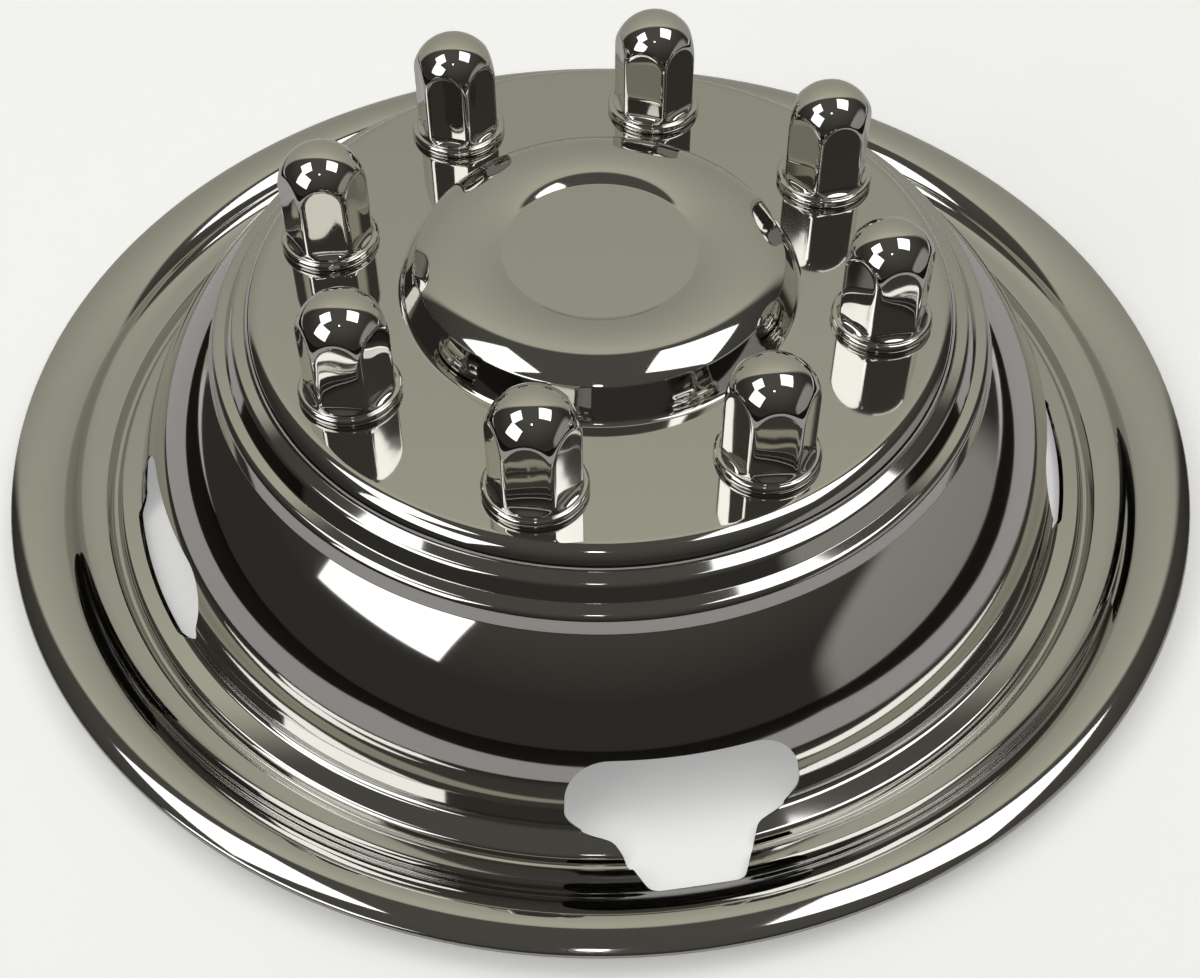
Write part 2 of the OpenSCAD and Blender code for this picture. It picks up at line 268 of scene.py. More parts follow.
def liner_section():
    """Upper side of the sheet from the middle to the hem, as (point, bearing) pairs."""
    riser_1_top = meet((0, DISC_H), 0, RISER_1_FOOT, -RISER_TILT[0])
    riser_2_top = meet(RISER_1_FOOT, -LEDGE_TILT[0], RISER_2_FOOT, -RISER_TILT[1])
    riser_3_top = meet(RISER_2_FOOT, -LEDGE_TILT[1], BELL_TOP, -RISER_TILT[2])
    bell_corner = meet(BELL_TOP, -BELL_TOP_TILT, BELL_CREASE, -BELL_WALL_TILT)
    dome_foot = (DOME_FOOT_R, DISC_H)
    crease = meet(dome_foot, -DOME_WALL_TILT, (0, DISC_H + DOME_CREASE_H), 0)
    recess = np.array((RECESS_R, DISC_H + RECESS_H))
    crown = meet(recess, CROWN_IN_TILT, crease, -CROWN_OUT_TILT)
    reach = min(np.linalg.norm(crown - recess), np.linalg.norm(crown - crease))
    crown_round = CROWN_SHARE * reach / tan((CROWN_IN_TILT + CROWN_OUT_TILT) / 2)
    crown_r, crown_h = OUTER_R - LIP_CROWN_IN, EDGE_H + LIP_RISE
    lip_centre = np.array((crown_r, crown_h - LIP_ROUND))
    lip_in = lip_centre + unit(90 + WALL_TILT) * LIP_ROUND
    lip_out = lip_centre + unit(90 - LIP_TILT) * LIP_ROUND
    lip_corner = meet(lip_in, WALL_TILT, lip_out, -LIP_TILT)
    wall_foot = meet(STEP, STEP_TILT, lip_in, WALL_TILT)
    wall_foot_bend = WALL_SHARE * np.linalg.norm(lip_in - wall_foot) / tan((WALL_TILT - STEP_TILT) / 2)
    hem_r = OUTER_R - HEM_ROUND
    hem_centre = np.array((
        hem_r,
        lip_out[1] - (hem_r - lip_out[0]) * tan(LIP_TILT) - HEM_ROUND / math.cos(math.radians(LIP_TILT)),
    ))
    tilts = [LIP_TILT + (90 - LIP_TILT) * i / HEM_STEPS for i in range(HEM_STEPS + 1)]
    tilts += [90 + HEM_UNDER * i / HEM_STEPS for i in range(1, HEM_STEPS + 1)]
    hem = [(hem_centre + unit(90 - b) * HEM_ROUND, -b) for b in tilts]
    corners = [
        (0, recess[1], 0),
        (*recess, RECESS_BEND),
        (*crown, crown_round, LIP_STEP),
        (*crease, DOME_CREASE_BEND),
        (*dome_foot, DOME_FOOT_BEND),
        (*riser_1_top, DISC_BEND, DISC_STEP),
        (*RISER_1_FOOT, RISER_FOOT_BEND),
        (*riser_2_top, LEDGE_BEND),
        (*RISER_2_FOOT, RISER_FOOT_BEND),
        (*riser_3_top, LEDGE_BEND),
        (*BELL_TOP, RISER_FOOT_BEND),
        (*bell_corner, BELL_ROUND, BELL_STEP),
        (*BELL_CREASE, BELL_CREASE_BEND),
        (*BELL_FOOT, BELL_FOOT_BEND),
        (*GROOVE_SHOULDER, GROOVE_SHOULDER_BEND),
        (GROOVE_R - GROOVE_W / 2, SHEET_T, GROOVE_BEND / 2),
        (GROOVE_R + GROOVE_W / 2, SHEET_T, GROOVE_BEND / 2),
        (*STEP, GROOVE_BEND),
        (*wall_foot, wall_foot_bend, LIP_STEP),
        (*lip_corner, LIP_ROUND, LIP_STEP),
        (*hem[0][0], 0),
    ]
    return bent(corners, BEND_STEP) + hem[1:]


def mesh_object(name, verts, faces):
    mesh = bpy.data.meshes.new(name)
    mesh.from_pydata([tuple(v) for v in verts], [], faces)
    mesh.update()
    obj = bpy.data.objects.new(name, mesh)
    bpy.context.scene.collection.objects.link(obj)
    return obj


def revolved(name, outline, steps):
    """Solid of revolution round Z from a closed outline (r, z) in millimetres; points at r 0 are shared."""
    verts, rows = [], []
    for r, z in outline:
        if r < 1e-6:
            rows.append([len(verts)] * steps)
            verts.append((0, 0, z * MM))
            continue
        rows.append(range(len(verts), len(verts) + steps))
        verts += [
            (r * MM * math.cos(2 * math.pi * k / steps), r * MM * math.sin(2 * math.pi * k / steps), z * MM)
            for k in range(steps)
        ]
    faces = []
    n = len(outline)
    for i in range(n):
        lo, hi = rows[i], rows[(i + 1) % n]
        for k in range(steps):
            m = (k + 1) % steps
            quad = [lo[k], lo[m], hi[m], hi[k]]
            face = [v for j, v in enumerate(quad) if v != quad[j - 1]]
            if len(face) > 2:
                faces.append(face)
    return mesh_object(name, verts, faces)


def prism(name, outline, low, high, place):
    """Upright prism over an outline, in millimetres, placed by a matrix in metres."""
    n = len(outline)
    verts = [place @ Vector((x * MM, y * MM, low * MM)) for x, y in outline]
    verts += [place @ Vector((x * MM, y * MM, high * MM)) for x, y in outline]
    faces = [list(range(n))[::-1], list(range(n, 2 * n))]
    faces += [[i, (i + 1) % n, n + (i + 1) % n, n + i] for i in range(n)]
    obj = mesh_object(name, verts, faces)
    outward(obj)
    return obj


def outward(obj):
    """Turns every face of a closed mesh outward."""
    bm = bmesh.new()
    bm.from_mesh(obj.data)
    bmesh.ops.recalc_face_normals(bm, faces=bm.faces)
    bm.to_mesh(obj.data)
    bm.free()


def joined(name, objs):
    picked = {"active_object": objs[0], "selected_editable_objects": objs, "selected_objects": objs}
    with bpy.context.temp_override(**picked):
        bpy.ops.object.join()
    objs[0].name = name
    return objs[0]


def cut(obj, cutter):
    mod = obj.modifiers.new("cut", "BOOLEAN")
    mod.operation = "DIFFERENCE"
    mod.solver = "EXACT"
    mod.object = cutter
    dg = bpy.context.evaluated_depsgraph_get()
    mesh = bpy.data.meshes.new_from_object(obj.evaluated_get(dg))
    obj.modifiers.clear()
    obj.data = mesh
    bpy.data.objects.remove(cutter)


def spin(a):
    return Matrix.Rotation(math.radians(a), 4, "Z")


def shift(x, y, z):
    return Matrix.Translation((x * MM, y * MM, z * MM))


def hole_turn(k):
    """Turn of hand hole k from the notched one; the far ones share what is left."""
    return SIDE_HOLE_TURN + (k - 1) * (360 - 2 * SIDE_HOLE_TURN) / (HAND_HOLES - 2) if k else 0


def hand_hole_cutter(k):
    """Rounded slot from the trough's floor up the bell's wall, bent round the axis."""
    rise = BELL_FOOT[1] - GROOVE_SHOULDER[1]
    span = GROOVE_SHOULDER[0] - BELL_FOOT[0]
    low = np.array((HOLE_R, GROOVE_SHOULDER[1] + rise * (GROOVE_SHOULDER[0] - HOLE_R) / span))
    high = np.array((HOLE_TOP_R, HOLE_H))
    mid, half = (low + high) / 2, np.linalg.norm(high - low) / 2
    slope = bearing(low, high)
    c = rounded([
        (HOLE_L / 2, -half, HOLE_LOW_ROUND),
        (HOLE_L / 2, half, HOLE_ROUND),
        (-HOLE_L / 2, half, HOLE_ROUND),
        (-HOLE_L / 2, -half, HOLE_LOW_ROUND),
    ])
    outline = []
    cs, sn = math.cos(math.radians(slope)), math.sin(math.radians(slope))
    for i, p in enumerate(c):
        q = c[(i + 1) % len(c)]
        n = max(1, round(np.linalg.norm(q - p) / EDGE_STEP))
        for j in range(n):
            a, s = p + (q - p) * j / n
            r, z, t = mid[0] + s * cs, s * sn, a / mid[0]
            out = r * math.cos(t) - mid[0]
            outline.append((r * math.sin(t), out * cs + z * sn))
    place = (
        spin(NOTCH_TURN + hole_turn(k))
        @ shift(mid[0], 0, mid[1])
        @ Matrix.Rotation(math.radians(180 - slope), 4, "Y")
        @ Matrix.Rotation(math.radians(90), 4, "Z")
    )
    return prism("hand_hole", outline, -CUT_IN, CUT_OUT, place)


def valve_notch_cutter():
    """Notch from the first hand hole out through the trough, for the valve's stem."""
    mouth = HOLE_R - NOTCH_LAP
    flare_w = NOTCH_MOUTH_W / 2 + NOTCH_FLARE
    mouth_w = NOTCH_MOUTH_W / 2 + NOTCH_MOUTH_EXTRA
    outline = rounded([
        (mouth, -flare_w, NOTCH_FLARE_ROUND),
        (HOLE_R - NOTCH_MOUTH_LAP, -mouth_w, NOTCH_MOUTH_ROUND),
        (NOTCH_END_R, -NOTCH_END_W / 2, NOTCH_ROUND),
        (NOTCH_END_R, NOTCH_END_W / 2, NOTCH_ROUND),
        (HOLE_R - NOTCH_MOUTH_LAP, mouth_w, NOTCH_MOUTH_ROUND),
        (mouth, flare_w, NOTCH_FLARE_ROUND),
    ])
    return prism("valve_notch", outline, -1, HOLE_H - BELL_FOOT[1] - 1, spin(NOTCH_TURN))


def stud_hole_cutter(k):
    """Round hole that the skirt of a cover passes."""
    turns = np.linspace(0, 2 * math.pi, STUD_HOLE_STEPS + 1)[:-1]
    outline = [(STUD_HOLE_R * math.cos(t), STUD_HOLE_R * math.sin(t)) for t in turns]
    place = spin(COVER_TURN + COVER_PITCH * k) @ shift(STUD_R, 0, DISC_H)
    return prism("stud_hole", outline, -SHEET_T - 1, 1, place)


def section_normals(obj, upper, lower):
    """Gives the faces of the sheet the exact normals of its section and leaves the cut edges flat."""
    mesh = obj.data
    tables = []
    for side, sign in ((upper, 1), (lower, -1)):
        pts = np.array([p for p, _ in side]) * MM
        tilt = np.unwrap(np.radians([b for _, b in side]))
        tables.append((pts, tilt, sign))
    vert_of = np.zeros(len(mesh.loops), int)
    mesh.loops.foreach_get("vertex_index", vert_of)
    co = np.zeros(len(mesh.vertices) * 3)
    mesh.vertices.foreach_get("co", co)
    co = co.reshape(-1, 3)
    n_faces = len(mesh.polygons)
    start = np.zeros(n_faces, int)
    total = np.zeros(n_faces, int)
    flat = np.zeros(n_faces * 3)
    mesh.polygons.foreach_get("loop_start", start)
    mesh.polygons.foreach_get("loop_total", total)
    mesh.polygons.foreach_get("normal", flat)
    flat = flat.reshape(-1, 3)
    face_of = np.repeat(np.arange(n_faces), total)
    r = np.hypot(co[:, 0], co[:, 1])
    best = []
    for pts, tilt, sign in tables:
        a, b = pts[:-1], pts[1:]
        ab = b - a
        p = np.stack([r, co[:, 2]], 1)
        dist = np.full(len(p), 1e9)
        ang = np.zeros(len(p))
        for i in range(len(a)):
            t = np.clip(((p - a[i]) @ ab[i]) / max(ab[i] @ ab[i], 1e-18), 0, 1)
            d = np.linalg.norm(p - a[i] - t[:, None] * ab[i], axis=1)
            near = d < dist
            dist[near] = d[near]
            ang[near] = (tilt[i] + (tilt[i + 1] - tilt[i]) * t)[near]
        best.append((dist, ang, sign))
    radial = co[:, :2] / np.maximum(r, 1e-9)[:, None]
    chosen = flat[face_of]
    for dist, ang, sign in best:
        nr, nz = -np.sin(ang) * sign, np.cos(ang) * sign
        n = np.column_stack([radial[:, 0] * nr, radial[:, 1] * nr, nz])[vert_of]
        ok = (dist[vert_of] < NORMAL_REACH) & (np.sum(n * flat[face_of], 1) > NORMAL_AGREE)
        chosen = np.where(ok[:, None], n, chosen)
    mesh.polygons.foreach_set("use_smooth", [True] * n_faces)
    mesh.normals_split_custom_set(chosen.tolist())


def make_liner(steps):
    """Sheet turned from its section, with its holes and its notch cut."""
    upper = liner_section()
    lower = [(p - unit(b + 90) * SHEET_T, b) for p, b in upper]
    liner = revolved("liner_polished", [p for p, _ in upper + lower[::-1]], steps)
    outward(liner)
    holes = [hand_hole_cutter(k) for k in range(HAND_HOLES)] + [stud_hole_cutter(k) for k in range(COVERS)]
    cut(liner, joined("holes", holes))
    cut(liner, valve_notch_cutter())
    section_normals(liner, upper, lower)
    return liner


def smooth_min(a, b, k):
    """Smaller of a and b with a rounded change over k."""
    h = np.clip(0.5 + 0.5 * (b - a) / k, 0, 1)
    return b + (a - b) * h - k * h * (1 - h)


def cover_outline():
    """Half section of a nut cover without its flats, from the socket's crown round to the dome's top."""
    dome_z = COVER_H - COVER_R
    socket_z = COVER_H - CROWN_T - SOCKET_R
    bead = np.array((FLANGE_R - BEAD_ROUND, BEAD_ROUND))
    flare = FLANGE_R - BEAD_ROUND - COVER_R
    foot = -SHEET_T - SKIRT_L
    out = [np.array((0.0, socket_z + SOCKET_R))]
    out += [np.array((0, socket_z)) + unit(a) * SOCKET_R for a in np.linspace(90, 0, 19)[1:]]
    rim = ((SOCKET_R, MOUTH_H), (MOUTH_R, MOUTH_H), (MOUTH_R, foot), (SKIRT_R, foot), (SKIRT_R, 0.0))
    out += [np.array(p) for p in rim]
    out += [bead + unit(a) * BEAD_ROUND for a in np.linspace(-90, 90, 19)]
    neck = np.array((COVER_R + flare, 2 * BEAD_ROUND + flare))
    out += [neck + unit(a) * flare for a in np.linspace(-90, -180, 6)[1:]]
    out += [np.array((COVER_R, z)) for z in np.linspace(2 * BEAD_ROUND + flare, dome_z, 44)[1:]]
    out += [np.array((0, dome_z)) + unit(a) * COVER_R for a in np.linspace(0, 90, 37)[1:]]
    return out


def make_cover(i, steps):
    """Nut cover turned from its half section, with its six hollow flats pressed in."""
    outline = cover_outline()
    cover = revolved(f"nut_cover_{i + 1}_plated", outline, steps)
    co = np.zeros(len(cover.data.vertices) * 3)
    cover.data.vertices.foreach_get("co", co)
    co = co.reshape(-1, 3) / MM
    r, z = np.hypot(co[:, 0], co[:, 1]), co[:, 2]
    half_w = math.sqrt(COVER_R**2 - (COVER_FLATS / 2) ** 2)
    drum_r = (half_w**2 + FLAT_DISH**2) / (2 * FLAT_DISH)
    apothem = COVER_FLATS / 2 - FLAT_DISH
    a = np.arctan2(co[:, 1], co[:, 0])
    a = (a + math.pi / FLATS) % (2 * math.pi / FLATS) - math.pi / FLATS
    side = r * np.sin(a)
    foot = np.clip(FLAT_FOOT_H + FLAT_FOOT_ROUND - z, 0, FLAT_FOOT_ROUND)
    lift = FLAT_FOOT_ROUND - np.sqrt(np.maximum(FLAT_FOOT_ROUND**2 - foot**2, 0))
    limit = (apothem + lift + drum_r - np.sqrt(drum_r**2 - side**2)) / np.cos(a)
    outer = (z > FLAT_FOOT_H) & (r > MOUTH_R + 0.05)
    new_r = np.where(outer, smooth_min(r, limit, FLAT_BLEND), r)
    co[:, :2] *= (new_r / np.maximum(r, 1e-9))[:, None]
    cover.data.vertices.foreach_set("co", (co * MM).ravel())
    outward(cover)
    cover.data.polygons.foreach_set("use_smooth", [True] * len(cover.data.polygons))
    cover.data.transform(
        spin(COVER_TURN + COVER_PITCH * i) @ shift(STUD_R, 0, DISC_H + SEAT_CLEAR) @ spin(COVER_CLOCK[i])
    )
    cover.data.set_sharp_from_angle(angle=math.radians(COVER_SHARP))
    return cover


def linear(hex_colour):
    """sRGB hex colour as linear RGBA."""
    rgb = [int(hex_colour[k : k + 2], 16) / 255 for k in (1, 3, 5)]
    return [c / 12.92 if c <= 0.04045 else ((c + 0.055) / 1.055) ** 2.4 for c in rgb] + [1.0]


def node(tree, kind, links=(), **settings):
    """Adds a node, sets its properties and inputs, and links its inputs."""
    made = tree.nodes.new(kind)
    for key, value in settings.items():
        name = key.replace("_", " ")
        if hasattr(made, key):
            setattr(made, key, value)
        elif name in made.inputs:
            made.inputs[name].default_value = value
        else:
            made.inputs[int(key[1:])].default_value = value
    for source, target in links:
        tree.links.new(source, made.inputs[target])
    return made


def new_material(name):
    mat = bpy.data.materials.new(name)
    mat.use_nodes = True
    mat.node_tree.nodes.clear()
    return mat, mat.node_tree


def stainless(hex_colour):
    """Stainless sheet, stamped and then polished: a warm grey mirror with a faint haze and a slow ripple.

    The haze changes over about 110 mm, and the ripple that the press leaves over about 70 mm.
    """
    mat, t = new_material("stainless_stamped_polished")
    place = node(t, "ShaderNodeTexCoord")
    haze = node(t, "ShaderNodeTexNoise", [(place.outputs["Object"], "Vector")], Scale=9.0, Detail=3.0)
    rough = node(
        t, "ShaderNodeMapRange", [(haze.outputs["Fac"], "Value")],
        From_Min=0.3, From_Max=0.7, To_Min=0.035, To_Max=0.065,
    )
    ripple = node(t, "ShaderNodeTexNoise", [(place.outputs["Object"], "Vector")], Scale=14.0, Detail=1.0)
    bump = node(t, "ShaderNodeBump", [(ripple.outputs["Fac"], "Height")], Strength=0.15, Distance=0.0006)
    shader = node(
        t, "ShaderNodeBsdfPrincipled",
        [(rough.outputs["Result"], "Roughness"), (bump.outputs["Normal"], "Normal")],
        Base_Color=linear(hex_colour), Metallic=1.0,
    )
    node(t, "ShaderNodeOutputMaterial", [(shader.outputs["BSDF"], "Surface")])
    return mat


def plated(hex_colour):
    """Bright chrome plated on moulded ABS: a cooler, sharper mirror with waves about 11 mm long under it."""
    mat, t = new_material("chrome_plated_abs")
    place = node(t, "ShaderNodeTexCoord")
    wave = node(t, "ShaderNodeTexNoise", [(place.outputs["Object"], "Vector")], Scale=90.0, Detail=1.0)
    bump = node(t, "ShaderNodeBump", [(wave.outputs["Fac"], "Height")], Strength=0.15, Distance=0.0002)
    shader = node(
        t, "ShaderNodeBsdfPrincipled", [(bump.outputs["Normal"], "Normal")],
        Base_Color=linear(hex_colour), Metallic=1.0, Roughness=0.03,
    )
    node(t, "ShaderNodeOutputMaterial", [(shader.outputs["BSDF"], "Surface")])
    return mat


def spring_steel(hex_colour):
    """Spring steel strip, rolled and oiled: a dull dark grey, mottled about every millimetre."""
    mat, t = new_material("spring_steel_rolled")
    place = node(t, "ShaderNodeTexCoord")
    mottle = node(t, "ShaderNodeTexNoise", [(place.outputs["Object"], "Vector")], Scale=900.0, Detail=2.0)
    rough = node(
        t, "ShaderNodeMapRange", [(mottle.outputs["Fac"], "Value")],
        From_Min=0.3, From_Max=0.7, To_Min=0.28, To_Max=0.42,
    )
    shader = node(
        t, "ShaderNodeBsdfPrincipled", [(rough.outputs["Result"], "Roughness")],
        Base_Color=linear(hex_colour), Metallic=1.0,
    )
    node(t, "ShaderNodeOutputMaterial", [(shader.outputs["BSDF"], "Surface")])
    return mat


def shown_rays(t):
    """1 for the rays that may see the studio's own background: camera, glossy and transmission."""
    rays = node(t, "ShaderNodeLightPath")
    first = node(
        t, "ShaderNodeMath", [(rays.outputs["Is Camera Ray"], 0), (rays.outputs["Is Glossy Ray"], 1)],
        operation="MAXIMUM",
    )
    return node(
        t, "ShaderNodeMath", [(first.outputs[0], 0), (rays.outputs["Is Transmission Ray"], 1)],
        operation="MAXIMUM",
    )


def floor_paper(hex_colour, lift):
    """Matt white paper, lifted for the rays that look at it, with the shadow kept."""
    mat, t = new_material("floor_matt_paper")
    paper = node(t, "ShaderNodeBsdfDiffuse", Color=linear(hex_colour), Roughness=0.5)
    seen = shown_rays(t)
    amount = node(t, "ShaderNodeMath", [(seen.outputs[0], 0)], operation="MULTIPLY", i1=lift)
    glow = node(t, "ShaderNodeEmission", [(amount.outputs[0], "Strength")])
    both = node(t, "ShaderNodeAddShader", [(paper.outputs[0], 0), (glow.outputs[0], 1)])
    node(t, "ShaderNodeOutputMaterial", [(both.outputs[0], "Surface")])
    return mat


def graded_glow(t, height, low_hex, high_hex, heights):
    """Emission that goes from one colour to another as the height climbs from heights[0] to heights[1]."""
    climb = node(t, "ShaderNodeMapRange", [(height, "Value")], From_Min=heights[0], From_Max=heights[1])
    mix = node(t, "ShaderNodeMix", [(climb.outputs["Result"], "Factor")], data_type="RGBA")
    mix.inputs[MIX_A].default_value = linear(low_hex)
    mix.inputs[MIX_B].default_value = linear(high_hex)
    return node(t, "ShaderNodeEmission", [(mix.outputs[MIX_RESULT], "Color")])


def soft_glow(name, low_hex, high_hex, centre, reach, fade, heights):
    """Painted card that glows from one colour at its foot to another higher up, and thins out at its rim."""
    mat, t = new_material(name)
    place = node(t, "ShaderNodeTexCoord")
    local = node(
        t, "ShaderNodeMapping", [(place.outputs["Object"], "Vector")],
        vector_type="TEXTURE", Location=centre, Scale=reach,
    )
    parts = node(t, "ShaderNodeSeparateXYZ", [(local.outputs[0], 0)])
    above = node(t, "ShaderNodeMath", [(parts.outputs["Z"], 0)], operation="MAXIMUM", i1=0.0)
    spread = node(
        t, "ShaderNodeCombineXYZ", [(parts.outputs["X"], 0), (parts.outputs["Y"], 1), (above.outputs[0], 2)]
    )
    far = node(t, "ShaderNodeVectorMath", [(spread.outputs[0], 0)], operation="LENGTH")
    thin = node(
        t, "ShaderNodeMapRange", [(far.outputs["Value"], "Value")],
        From_Min=1 - fade, From_Max=1 + fade, To_Min=0.0, To_Max=1.0, interpolation_type="SMOOTHSTEP",
    )
    whole = node(t, "ShaderNodeSeparateXYZ", [(place.outputs["Object"], 0)])
    glow = graded_glow(t, whole.outputs["Z"], low_hex, high_hex, heights)
    clear = node(t, "ShaderNodeBsdfTransparent")
    both = node(
        t, "ShaderNodeMixShader", [(thin.outputs["Result"], 0), (glow.outputs[0], 1), (clear.outputs[0], 2)]
    )
    node(t, "ShaderNodeOutputMaterial", [(both.outputs[0], "Surface")])
    return mat


def room_painted_reflection(side_hex, painted_light_top_hex):
    """Glow of the dark room's walls and ceiling round the stage, a painted reflection, a little lighter
    overhead as painted light.
    """
    mat, t = new_material("room_glow_painted_reflection")
    place = node(t, "ShaderNodeTexCoord")
    way = node(t, "ShaderNodeVectorMath", [(place.outputs["Object"], 0)], operation="NORMALIZE")
    parts = node(t, "ShaderNodeSeparateXYZ", [(way.outputs[0], 0)])
    glow = graded_glow(t, parts.outputs["Z"], side_hex, painted_light_top_hex, (0.3, 0.95))
    node(t, "ShaderNodeOutputMaterial", [(glow.outputs[0], "Surface")])
    return mat


def matt(name, hex_colour):
    mat, t = new_material(name)
    card_surface = node(t, "ShaderNodeBsdfDiffuse", Color=linear(hex_colour), Roughness=0.5)
    node(t, "ShaderNodeOutputMaterial", [(card_surface.outputs[0], "Surface")])
    return mat


def mirrored_only(obj, mat):
    """Makes a piece of the studio that the metal mirrors and that the camera doesn't see."""
    obj.data.materials.append(mat)
    obj.visible_camera = False
    obj.visible_shadow = False
    return obj


def flat_sheet(name, outline, lift):
    """Flat sheet over an outline, at a height above the floor, in metres."""
    return mesh_object(name, [(x, y, lift) for x, y in outline], [list(range(len(outline)))])


def square(reach):
    return [(-reach, -reach), (reach, -reach), (reach, reach), (-reach, reach)]


def backdrop():
    """Glowing card across the back of the stage, a painted reflection of lit olive paper, lighter higher up
    and thinning out at its rim.
    """
    # Glow of painted reflection, lighter higher up as painted light.
    paper = soft_glow(
        "backdrop_olive_painted_reflection", "#a5a498", "#c6c4b3", (-0.09, 0.0, 0.75), (1.19, 1.0, 1.55), 0.08, (0.2, 1.3)
    )
    (left, right), (low, high) = BACKDROP_X, BACKDROP_Z
    verts = [(x, BACKDROP_Y, z) for x, z in ((left, low), (right, low), (right, high), (left, high))]
    mirrored_only(mesh_object("backdrop", verts, [[0, 1, 2, 3]]), paper)


def wall():
    """Glowing card at the right of the stage, a painted reflection of a grey wall, a little lighter higher
    up and thinning out at its rim.
    """
    # Glow of painted reflection, a little lighter higher up as painted light.
    card_surface = soft_glow(
        "wall_grey_painted_reflection", "#96948f", "#a19f9a", (WALL_X, -0.7, 0.5), (1.0, 1.5, 0.8), 0.2, (0.0, 1.5)
    )
    (front, back), (low, high) = WALL_Y, WALL_Z
    verts = [(WALL_X, y, z) for y, z in ((front, low), (back, low), (back, high), (front, high))]
    mirrored_only(mesh_object("wall_right", verts, [[0, 1, 2, 3]]), card_surface)


def floor_painted_reflections():
    """Dark mats of painted shade to the left, right and front of the object, and a pale sheet under it that
    is a painted reflection of the lit floor.
    """
    # The dark mats are painted shade that only the metal sees.
    dark = matt("floor_painted_shade", "#25221f")
    outlines = {
        "painted_shade_left": [(-FLOOR_REACH, SHADE_FRONT), *SHADE_EDGE_LEFT, (-FLOOR_REACH, SHADE_BACK)],
        "painted_shade_right": [(FLOOR_REACH, SHADE_FRONT), *SHADE_EDGE_RIGHT, (FLOOR_REACH, SHADE_BACK)],
        "painted_shade_front": [
            (-FLOOR_REACH, -FLOOR_REACH), (FLOOR_REACH, -FLOOR_REACH),
            (FLOOR_REACH, SHADE_FRONT), (-FLOOR_REACH, SHADE_FRONT),
        ],
    }
    for name, outline in outlines.items():
        mirrored_only(flat_sheet(name, outline, SHADE_LIFT), dark).visible_diffuse = False
    # The pale lavender sheet is a painted reflection of the lit floor that only the metal sees.
    pale = matt("floor_pale_painted_reflection", "#cfcdd0")
    mirrored_only(flat_sheet("pale_floor_reflection_sheet", square(PALE_REFLECTION_REACH), PALE_REFLECTION_LIFT), pale).visible_diffuse = False


def room():
    """Dark room round the whole stage, as a glowing ball whose inside the metal mirrors: a painted
    reflection.
    """
    bm = bmesh.new()
    bmesh.ops.create_uvsphere(bm, u_segments=48, v_segments=24, radius=ROOM_R)
    mesh = bpy.data.meshes.new("room")
    bm.to_mesh(mesh)
    bm.free()
    obj = bpy.data.objects.new("room", mesh)
    bpy.context.scene.collection.objects.link(obj)
    # Painted reflection: dark sides and a lighter top as painted light.
    mirrored_only(obj, room_painted_reflection("#383632", "#575550"))


def softbox(name, centre, size, strength):
    """Rectangular lamp whose face has the given brightness, sized in metres."""
    lamp = bpy.data.lights.new(name, "AREA")
    lamp.shape = "RECTANGLE"
    lamp.size, lamp.size_y = size
    lamp.energy = strength * size[0] * size[1] * math.pi
    obj = bpy.data.objects.new(name, lamp)
    bpy.context.scene.collection.objects.link(obj)
    toward = Vector(AIM) - Vector(centre)
    obj.matrix_world = Matrix.Translation(centre) @ toward.to_track_quat("-Z", "Y").to_matrix().to_4x4()
    obj.visible_camera = False
    return obj


def place_camera(lens):
    """Camera at the photograph's place and angle."""
    camera = bpy.data.objects.new("camera", bpy.data.cameras.new("camera"))
    bpy.context.scene.collection.objects.link(camera)
    camera.data.sensor_fit = "HORIZONTAL"
    camera.data.sensor_width = SENSOR_W
    camera.data.lens = lens
    right, up = Vector(CAMERA_RIGHT), Vector(CAMERA_UP)
    turned = Matrix((right, up, right.cross(up).normalized())).transposed().to_4x4()
    camera.matrix_world = Matrix.Translation(CAMERA_AT) @ turned
    bpy.context.scene.camera = camera


class WheelSimulatorSettings(bpy.types.PropertyGroup):
    """Colours and finish of the wheel simulator."""

    steel_colour: StringProperty(
        name="Steel colour", description="Colour of the polished sheet", default="#cbcac6",
    )
    plating_colour: StringProperty(
        name="Plating colour", description="Colour of the plated covers", default="#d2d0cb",
    )
    ring_colour: StringProperty(
        name="Ring colour", description="Colour of the spring rings", default="#7d7c7a",
    )
    floor_colour: StringProperty(
        name="Floor colour", description="Colour of the studio floor", default="#e9e9e7",
    )
    liner_steps: IntProperty(
        name="Liner steps", description="Steps round the liner",
        default=LINER_STEPS, min=96, max=LINER_STEPS,
    )
    lens: FloatProperty(
        name="Lens", description="Focal length of the camera", default=54.27, min=30, max=120, unit="CAMERA",
    )


def dress(obj, mat, slot, *replaced):
    """Gives a piece its material and body, and hides the solids it stands for."""
    obj.data.materials.clear()
    obj.data.materials.append(mat)
    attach(obj, "root")
    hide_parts(*replaced)


class WHEEL_OT_liner(bpy.types.Operator):
    """Make the polished liner in place of its solid."""

    bl_idname = "wheel.liner"
    bl_label = "Liner"

    def execute(self, context):
        settings = context.scene.wheel_simulator
        dress(make_liner(settings.liner_steps), stainless(settings.steel_colour), "stainless", "liner")
        return {"FINISHED"}


class WHEEL_OT_nut_covers(bpy.types.Operator):
    """Make the eight plated nut covers in place of their solids."""

    bl_idname = "wheel.nut_covers"
    bl_label = "Nut covers"

    def execute(self, context):
        mat = plated(context.scene.wheel_simulator.plating_colour)
        for i in range(COVERS):
            dress(make_cover(i, COVER_STEPS), mat, "cover_plating", f"nut_cover_{i + 1}")
        return {"FINISHED"}


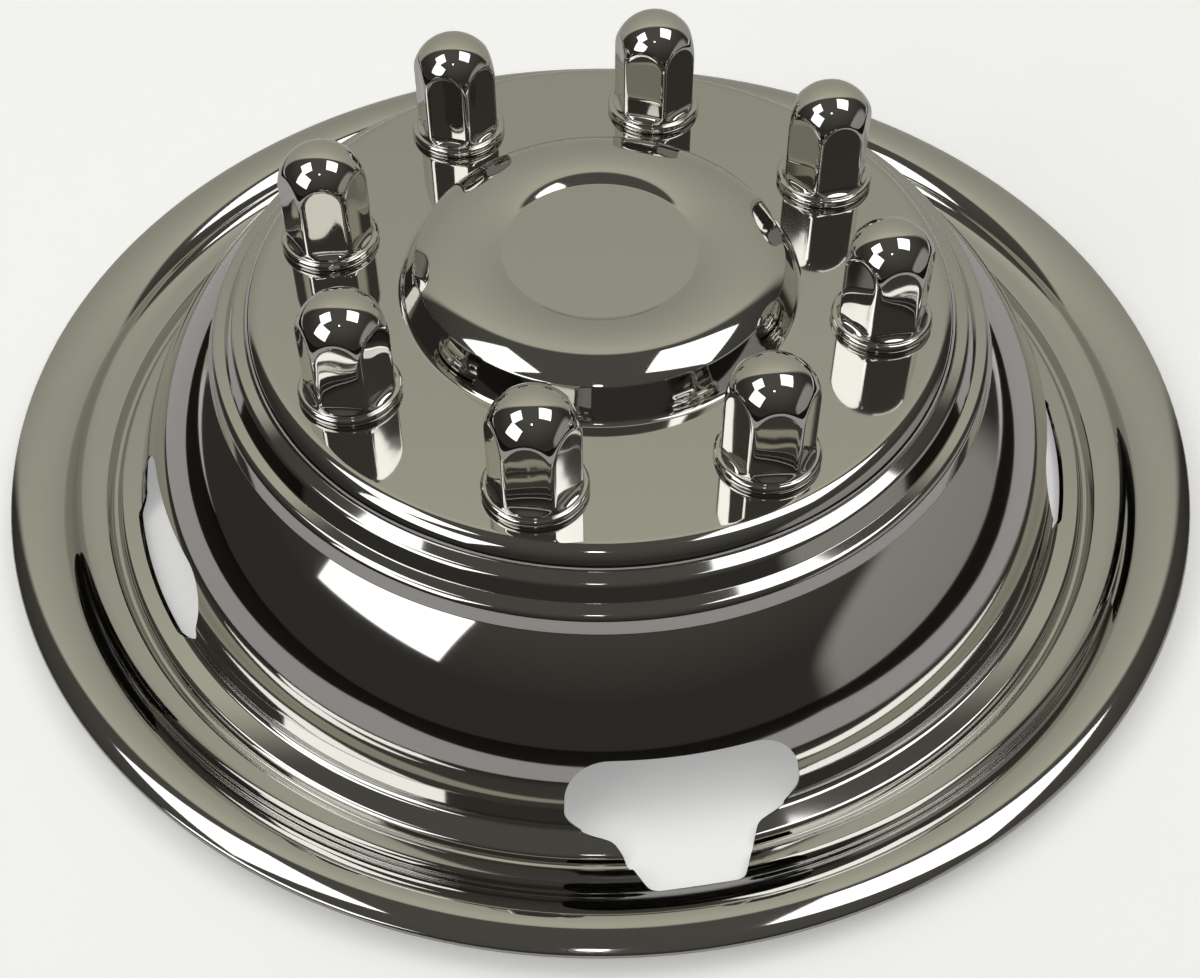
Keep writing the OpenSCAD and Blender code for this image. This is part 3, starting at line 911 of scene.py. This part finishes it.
class WHEEL_OT_retainer_rings(bpy.types.Operator):
    """Give the spring rings behind the sheet their steel."""

    bl_idname = "wheel.retainer_rings"
    bl_label = "Retainer rings"

    def execute(self, context):
        mat = spring_steel(context.scene.wheel_simulator.ring_colour)
        for i in range(COVERS):
            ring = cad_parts[f"retainer_ring_{i + 1}"]
            ring.data.materials.clear()
            ring.data.materials.append(mat)
        return {"FINISHED"}


class WHEEL_OT_stage(bpy.types.Operator):
    """Set up the floor, the studio and the camera."""

    bl_idname = "wheel.stage"
    bl_label = "Studio and camera"

    def execute(self, context):
        settings = context.scene.wheel_simulator
        floor = flat_sheet("floor", square(FLOOR_REACH), 0)
        floor.data.materials.append(floor_paper(settings.floor_colour, FLOOR_LIFT))
        room()
        backdrop()
        wall()
        floor_painted_reflections()
        lamps = [softbox(*lamp) for lamp in LAMPS]
        lamps[-1].visible_glossy = False
        world = bpy.data.worlds.new("studio_white")
        context.scene.world = world
        world.use_nodes = True
        world.node_tree.nodes["Background"].inputs["Color"].default_value = (1, 1, 1, 1)
        place_camera(settings.lens)
        context.scene.view_settings.view_transform = "Standard"
        return {"FINISHED"}


OPERATORS = (WHEEL_OT_liner, WHEEL_OT_nut_covers, WHEEL_OT_retainer_rings, WHEEL_OT_stage)


class WHEEL_PT_panel(bpy.types.Panel):
    """Lists the steps that dress the wheel simulator."""

    bl_idname = "WHEEL_PT_panel"
    bl_label = "Truck wheel simulator"
    bl_space_type = "VIEW_3D"
    bl_region_type = "UI"
    bl_category = "Wheel"

    def draw(self, context):
        settings = context.scene.wheel_simulator
        for name in WheelSimulatorSettings.__annotations__:
            self.layout.prop(settings, name)
        for op in OPERATORS:
            self.layout.operator(op.bl_idname)


CLASSES = (WheelSimulatorSettings, *OPERATORS, WHEEL_PT_panel)


def register():
    for cls in CLASSES:
        bpy.utils.register_class(cls)
    bpy.types.Scene.wheel_simulator = PointerProperty(type=WheelSimulatorSettings)


def unregister():
    del bpy.types.Scene.wheel_simulator
    for cls in reversed(CLASSES):
        bpy.utils.unregister_class(cls)


def main():
    register()
    for op in OPERATORS:
        section, name = op.bl_idname.split(".")
        getattr(getattr(bpy.ops, section), name)()
    bpy.context.view_layer.update()


if __name__ == "__main__":
    main()
